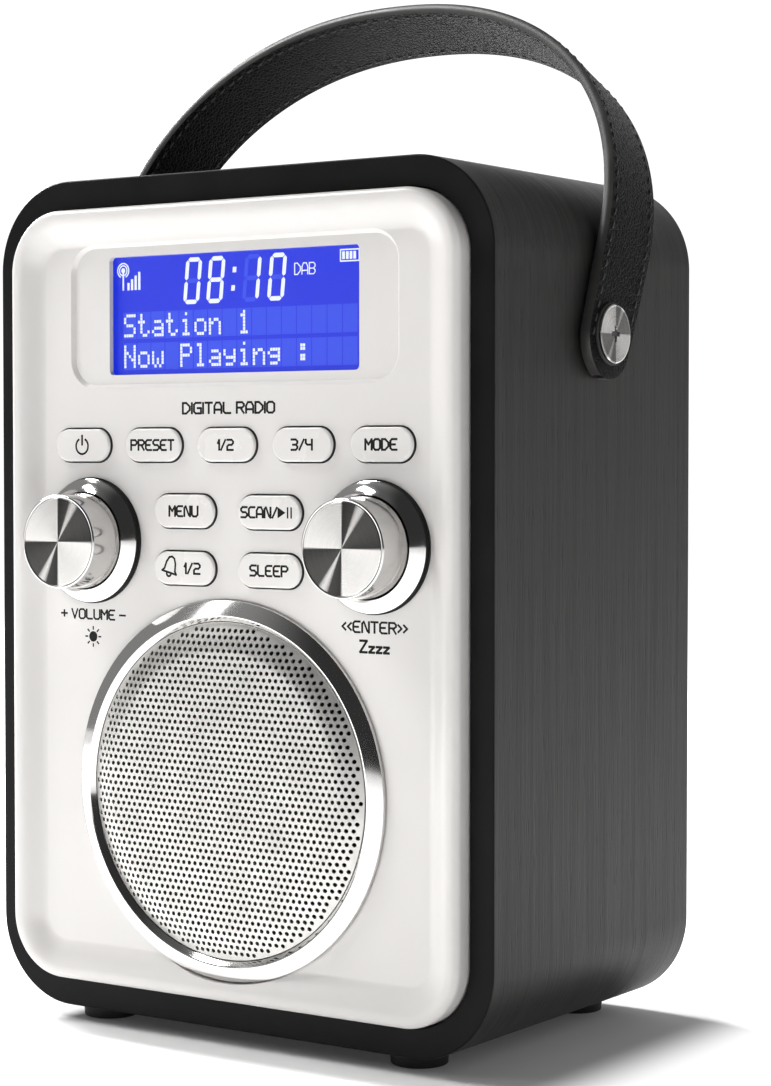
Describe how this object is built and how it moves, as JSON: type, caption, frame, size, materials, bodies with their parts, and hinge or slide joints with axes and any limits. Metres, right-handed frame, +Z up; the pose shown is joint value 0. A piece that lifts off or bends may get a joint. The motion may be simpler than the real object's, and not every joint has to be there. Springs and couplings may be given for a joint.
{
  "type": "portable radio",
  "caption": "Portable digital radio: dark rounded cabinet, white front with blue display, keys, two push knobs and a ringed speaker, with a swinging leather strap and a folding aerial.",
  "frame": {"origin": "on the surface the feet stand on, under the middle of the whole radio's width and depth", "axes": "+X to the right seen from the front, +Y from the front to the back, +Z up"},
  "size_m": [0.1388, 0.1, 0.2248],
  "materials": {
    "cabinet": "dark satin wrap with fine grain",
    "front": "glossy warm white",
    "keys": "glossy warm white",
    "chrome": "polished",
    "spun_metal": "spun, fine concentric lines",
    "grille": "perforated, satin silver",
    "lens": "clear, polished",
    "display": "blue lit display",
    "light_guide": "white diffuser",
    "strap_leather": "black, pebbled, stitched",
    "rubber": "matt",
    "brass": "turned",
    "dark_plastic": "fine texture",
    "board": "green circuit board",
    "battery": "shrink wrap",
    "steel": "blackened",
    "plain_steel": "turned",
    "basket": "black, pressed",
    "paper_cone": "black pulp",
    "gasket": "foam",
    "aerial": "polished"
  },
  "bodies": {
    "cabinet": {"cabinet_shell": "cabinet", "front_panel": "front", "display_lens": "lens", "lcd_glass": "display", "lcd_backlight": "light_guide", "control_board": "board", "foot_front_left": "rubber", "foot_front_right": "rubber", "foot_rear_left": "rubber", "foot_rear_right": "rubber", "volume_knob_ring": "chrome", "volume_encoder": "dark_plastic", "enter_knob_ring": "chrome", "enter_encoder": "dark_plastic", "speaker_ring": "chrome", "speaker_grille": "grille", "speaker_gasket": "gasket", "speaker_basket": "basket", "speaker_magnet": "steel", "speaker_surround": "gasket", "back_panel": "dark_plastic", "battery_pack": "battery", "main_board": "board", "power_jack": "dark_plastic", "headphone_jack": "dark_plastic", "back_screw_upper_left": "steel", "back_screw_upper_right": "steel", "back_screw_lower_left": "steel", "back_screw_lower_right": "steel", "strap_washer_left": "rubber", "strap_screw_left": "chrome", "strap_insert_left": "brass", "strap_washer_right": "rubber", "strap_screw_right": "chrome", "strap_insert_right": "brass"},
    "power_button": {"power_button": "keys"},
    "preset_button": {"preset_button": "keys"},
    "preset_1_2_button": {"preset_1_2_button": "keys"},
    "preset_3_4_button": {"preset_3_4_button": "keys"},
    "mode_button": {"mode_button": "keys"},
    "menu_button": {"menu_button": "keys"},
    "scan_button": {"scan_button": "keys"},
    "alarm_button": {"alarm_button": "keys"},
    "sleep_button": {"sleep_button": "keys"},
    "volume_wheel": {"volume_detent_wheel": "brass"},
    "volume_knob": {"volume_shaft": "plain_steel", "volume_knob": "chrome", "volume_knob_cap": "spun_metal"},
    "enter_wheel": {"enter_detent_wheel": "brass"},
    "enter_knob": {"enter_shaft": "plain_steel", "enter_knob": "chrome", "enter_knob_cap": "spun_metal"},
    "strap": {"handle_strap": "strap_leather"},
    "cone": {"speaker_cone": "paper_cone"},
    "battery_door": {"battery_door": "dark_plastic"},
    "aerial_swivel": {"aerial_base": "aerial"},
    "aerial_mast": {"aerial_tube_1": "aerial"},
    "aerial_section_2": {"aerial_tube_2": "aerial"},
    "aerial_section_3": {"aerial_tube_3": "aerial"},
    "aerial_rod": {"aerial_tip": "aerial"}
  },
  "joints": [
    {"name": "power_press", "type": "slide", "parent": "cabinet", "child": "power_button", "axis": [0, 1, 0], "range_m": [0, 0.0006], "stiffness_N_per_m": 700, "springref_m": -0.0008},
    {"name": "preset_press", "type": "slide", "parent": "cabinet", "child": "preset_button", "axis": [0, 1, 0], "range_m": [0, 0.0006], "stiffness_N_per_m": 700, "springref_m": -0.0008},
    {"name": "preset_1_2_press", "type": "slide", "parent": "cabinet", "child": "preset_1_2_button", "axis": [0, 1, 0], "range_m": [0, 0.0006], "stiffness_N_per_m": 700, "springref_m": -0.0008},
    {"name": "preset_3_4_press", "type": "slide", "parent": "cabinet", "child": "preset_3_4_button", "axis": [0, 1, 0], "range_m": [0, 0.0006], "stiffness_N_per_m": 700, "springref_m": -0.0008},
    {"name": "mode_press", "type": "slide", "parent": "cabinet", "child": "mode_button", "axis": [0, 1, 0], "range_m": [0, 0.0006], "stiffness_N_per_m": 700, "springref_m": -0.0008},
    {"name": "menu_press", "type": "slide", "parent": "cabinet", "child": "menu_button", "axis": [0, 1, 0], "range_m": [0, 0.0006], "stiffness_N_per_m": 700, "springref_m": -0.0008},
    {"name": "scan_press", "type": "slide", "parent": "cabinet", "child": "scan_button", "axis": [0, 1, 0], "range_m": [0, 0.0006], "stiffness_N_per_m": 700, "springref_m": -0.0008},
    {"name": "alarm_press", "type": "slide", "parent": "cabinet", "child": "alarm_button", "axis": [0, 1, 0], "range_m": [0, 0.0006], "stiffness_N_per_m": 700, "springref_m": -0.0008},
    {"name": "sleep_press", "type": "slide", "parent": "cabinet", "child": "sleep_button", "axis": [0, 1, 0], "range_m": [0, 0.0006], "stiffness_N_per_m": 700, "springref_m": -0.0008},
    {"name": "volume_turn", "type": "hinge", "parent": "cabinet", "child": "volume_wheel", "pos_m": [-0.037, -0.0373, 0.1052], "axis": [0, 1, 0], "continuous": true},
    {"name": "volume_push", "type": "slide", "parent": "volume_wheel", "child": "volume_knob", "axis": [0, 1, 0], "range_m": [0, 0.0007], "stiffness_N_per_m": 1200, "springref_m": -0.001},
    {"name": "enter_turn", "type": "hinge", "parent": "cabinet", "child": "enter_wheel", "pos_m": [0.037, -0.0373, 0.1052], "axis": [0, 1, 0], "continuous": true},
    {"name": "enter_push", "type": "slide", "parent": "enter_wheel", "child": "enter_knob", "axis": [0, 1, 0], "range_m": [0, 0.0007], "stiffness_N_per_m": 1200, "springref_m": -0.001},
    {"name": "strap_swing", "type": "hinge", "parent": "cabinet", "child": "strap", "pos_m": [0, 0.00295, 0.1485], "axis": [1, 0, 0], "range_deg": [-14, 57]},
    {"name": "cone_travel", "type": "slide", "parent": "cabinet", "child": "cone", "axis": [0, 1, 0], "range_m": [-0.001, 0.001], "stiffness_N_per_m": 1500, "deforming": ["speaker_surround"]},
    {"name": "battery_door_lift_off", "type": "slide", "parent": "cabinet", "child": "battery_door", "axis": [0, 1, 0], "range_m": [0, 0.012]},
    {"name": "aerial_turn", "type": "hinge", "parent": "cabinet", "child": "aerial_swivel", "pos_m": [0.044, 0.0466, 0.151], "axis": [0, 1, 0], "range_deg": [0, 180]},
    {"name": "aerial_tilt", "type": "hinge", "parent": "aerial_swivel", "child": "aerial_mast", "pos_m": [0.044, 0.0466, 0.151], "axis": [0, 0, -1], "range_deg": [0, 90]},
    {"name": "aerial_draw_1", "type": "slide", "parent": "aerial_mast", "child": "aerial_section_2", "axis": [-1, 0, 0], "range_m": [0, 0.07]},
    {"name": "aerial_draw_2", "type": "slide", "parent": "aerial_section_2", "child": "aerial_section_3", "axis": [-1, 0, 0], "range_m": [0, 0.07]},
    {"name": "aerial_draw_3", "type": "slide", "parent": "aerial_section_3", "child": "aerial_rod", "axis": [-1, 0, 0], "range_m": [0, 0.07]}
  ]
}
